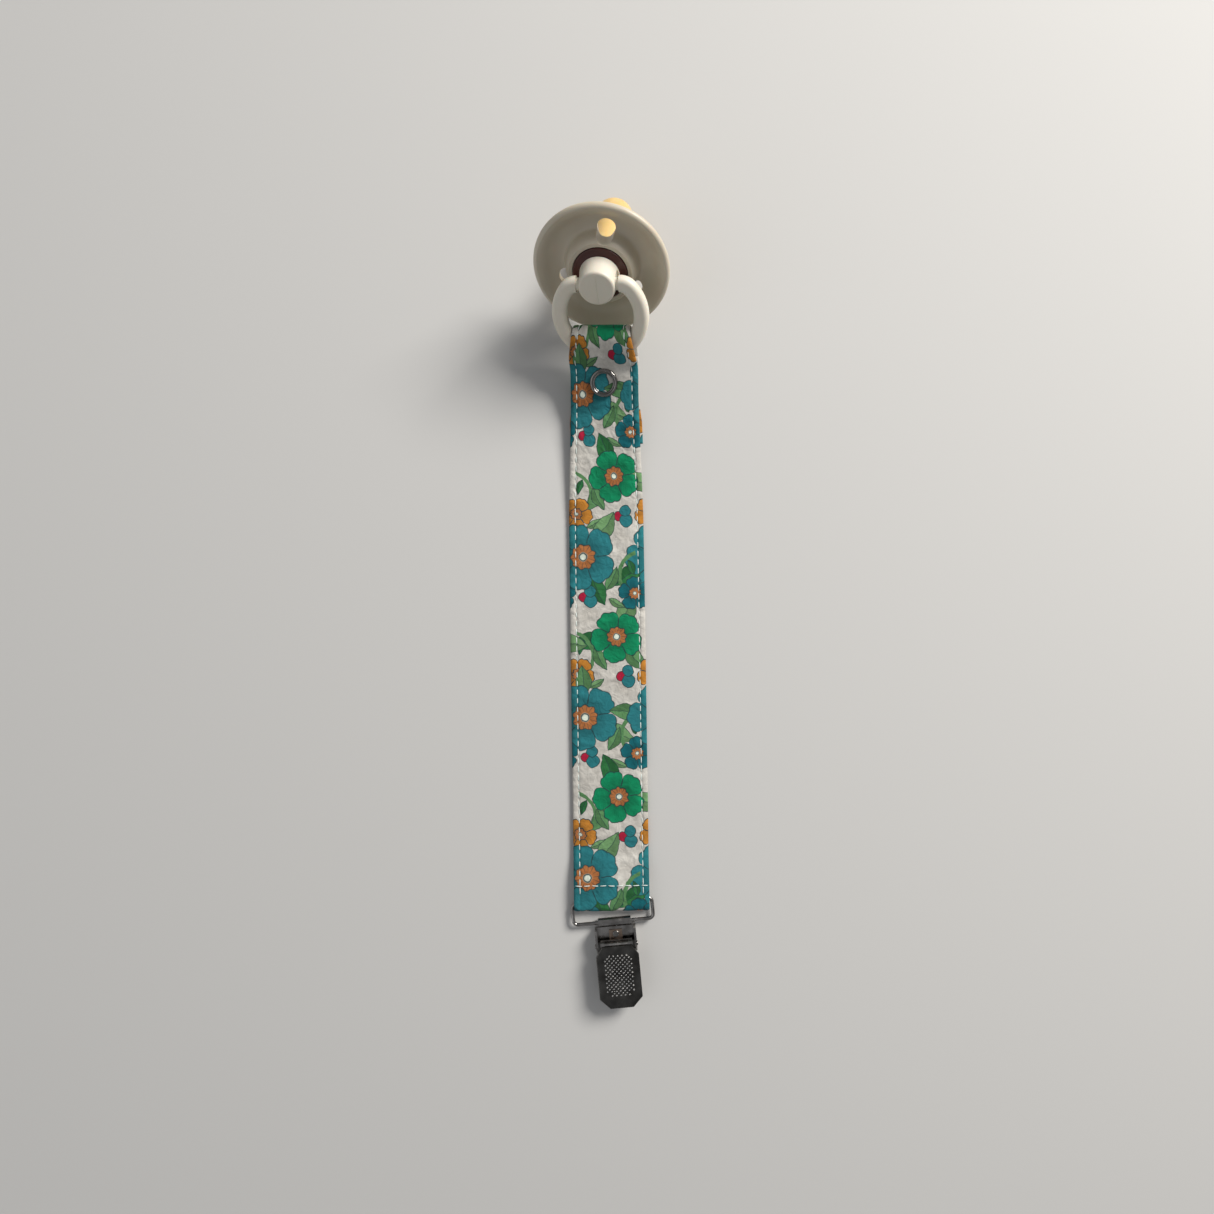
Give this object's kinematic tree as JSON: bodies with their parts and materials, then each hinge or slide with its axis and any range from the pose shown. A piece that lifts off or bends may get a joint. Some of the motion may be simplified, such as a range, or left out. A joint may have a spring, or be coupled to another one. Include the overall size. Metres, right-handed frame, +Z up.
{
  "type": "pacifier",
  "caption": "Round-shield pacifier with a rubber teat and a hinged ring, on a snap strap of flowered cotton with a metal suspender clip.",
  "frame": {"origin": "middle of the clip's flat back, on the floor", "axes": "+Y along the strap from the clip to the pacifier, +Z up from the floor, +X to the right seen from above"},
  "size_m": [0.0425, 0.2684, 0.0406],
  "materials": {
    "shell_plastic": "smooth satin moulding, warm ivory",
    "latex": "soft translucent natural rubber, pale honey",
    "dark_rubber": "dark red-brown natural rubber, slightly glossy",
    "plug_plastic": "smooth moulding",
    "print_cotton": "plain-weave cotton with a flower print in teal, green and ochre on off-white",
    "seam_thread": "sewing thread",
    "snap_metal": "dark nickel, polished",
    "clip_nickel": "dark polished nickel plate",
    "spring_steel": "tempered spring steel",
    "pad_plastic": "smooth clear-white plastic"
  },
  "bodies": {
    "strap": {"strap_front": "print_cotton", "strap_hem": "print_cotton", "left_seam_thread": "seam_thread", "right_seam_thread": "seam_thread", "cross_seam_thread": "seam_thread", "snap_front_ring": "snap_metal", "snap_socket": "snap_metal"},
    "ring": {"ring": "shell_plastic", "strap_loop": "print_cotton"},
    "knob": {"knob": "shell_plastic", "lock_plug": "plug_plastic", "retaining_disc": "dark_rubber", "teat": "latex"},
    "shield": {"shield": "shell_plastic"},
    "flap": {"strap_flap": "print_cotton", "snap_stud": "snap_metal", "snap_rear_ring": "snap_metal"},
    "wire": {"wire_loop": "clip_nickel"},
    "clip": {"clip_base": "clip_nickel", "lever_pin": "clip_nickel", "jaw_pad": "pad_plastic", "clip_spring": "spring_steel", "spring_rivet": "clip_nickel"},
    "lever": {"clip_lever": "clip_nickel"},
    "jaw": {"clip_inner_jaw": "clip_nickel"}
  },
  "joints": [
    {"name": "strap_bend", "type": "hinge", "parent": "strap", "child": "ring", "pos_m": [-0.00191, 0.20211, 0.0107], "axis": [0.9836, -0.0672, 0.1671], "range_deg": [-45, 45]},
    {"name": "ring_swing", "type": "hinge", "parent": "ring", "child": "knob", "pos_m": [-0.00352, 0.21845, 0.02674], "axis": [0.9836, -0.0672, 0.1671], "range_deg": [-14, 165]},
    {"name": "shield_swivel", "type": "hinge", "parent": "knob", "child": "shield", "pos_m": [-0.00235, 0.22469, 0.02238], "axis": [-0.1516, -0.8101, 0.5664], "continuous": true},
    {"name": "flap_unsnap", "type": "hinge", "parent": "strap", "child": "flap", "pos_m": [-0.00191, 0.20211, 0.0107], "axis": [0.9836, -0.0672, 0.1671], "range_deg": [0, 75]},
    {"name": "wire_hinge", "type": "hinge", "parent": "strap", "child": "wire", "pos_m": [-0.00191, 0.02041, 0.0015], "axis": [0.9969, 0.0785, 0], "range_deg": [-70, 70]},
    {"name": "clip_hinge", "type": "hinge", "parent": "wire", "child": "clip", "pos_m": [-0.00105, 0.01336, 0.0015], "axis": [0.9969, 0.0785, 0], "range_deg": [-70, 70]},
    {"name": "lever_open", "type": "hinge", "parent": "clip", "child": "lever", "pos_m": [-0.0005, 0.00638, 0.0036], "axis": [-0.9969, -0.0785, 0], "range_deg": [0, 80]},
    {"name": "jaw_open", "type": "hinge", "parent": "clip", "child": "jaw", "pos_m": [-0.0005, 0.00638, 0.0036], "axis": [-0.9969, -0.0785, 0], "range_deg": [0, 10]}
  ],
  "couplings": [
    {"joint": "jaw_open", "follows": "lever_open", "ratio": 0.12}
  ]
}
